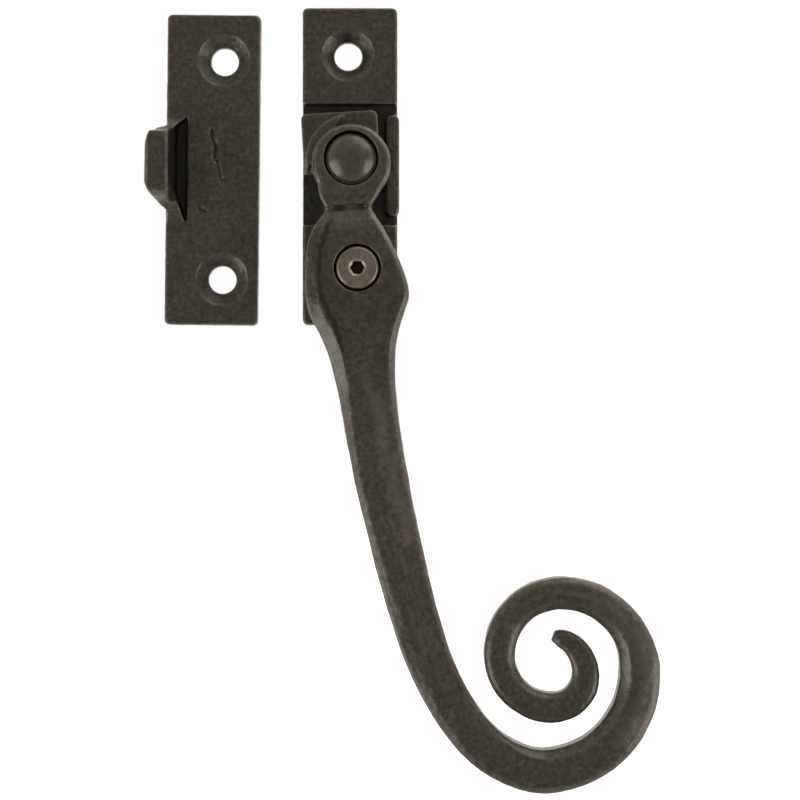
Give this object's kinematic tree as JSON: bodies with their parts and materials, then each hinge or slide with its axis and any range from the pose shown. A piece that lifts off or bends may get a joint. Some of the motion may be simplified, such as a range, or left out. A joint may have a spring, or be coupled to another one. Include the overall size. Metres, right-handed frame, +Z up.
{
  "type": "casement window fastener",
  "caption": "Black cast casement window fastener: a curled-tail handle with a socket lock screw turns on a riveted back plate, with a separate hook plate keep.",
  "frame": {"origin": "on the pivot rivet's axis, at the window face that the back plate is screwed to", "axes": "+Z up the window with the handle hanging down, +Y into the window, +X from the keep towards the handle's curl"},
  "size_m": [0.1025, 0.0209, 0.157],
  "materials": {
    "black_paint": "satin black paint over rough cast iron",
    "blacked_steel": "oil-blacked turned steel",
    "zinc_steel": "plain bright steel"
  },
  "bodies": {
    "fixed": {"back_plate": "black_paint", "pivot_rivet": "black_paint", "rivet_head_washer": "zinc_steel", "friction_spring_washer": "zinc_steel", "keep": "black_paint"},
    "handle": {"handle": "black_paint"},
    "lock_clip": {"lock_screw_clip": "zinc_steel"},
    "lock_screw": {"lock_screw": "blacked_steel"}
  },
  "joints": [
    {"name": "handle_turn", "type": "hinge", "parent": "fixed", "child": "handle", "pos_m": [0, 0, 0], "axis": [0, -1, 0], "range_deg": [-3.4, 86.6]},
    {"name": "lock_travel", "type": "slide", "parent": "handle", "child": "lock_clip", "axis": [0, 1, 0], "range_m": [0, 0.002]},
    {"name": "lock_turn", "type": "hinge", "parent": "lock_clip", "child": "lock_screw", "pos_m": [0.00131, 0, -0.02206], "axis": [0, 1, 0], "range_deg": [0, 900]}
  ],
  "couplings": [
    {"joint": "lock_turn", "follows": "lock_travel", "rad_per_m": 7853.9}
  ]
}
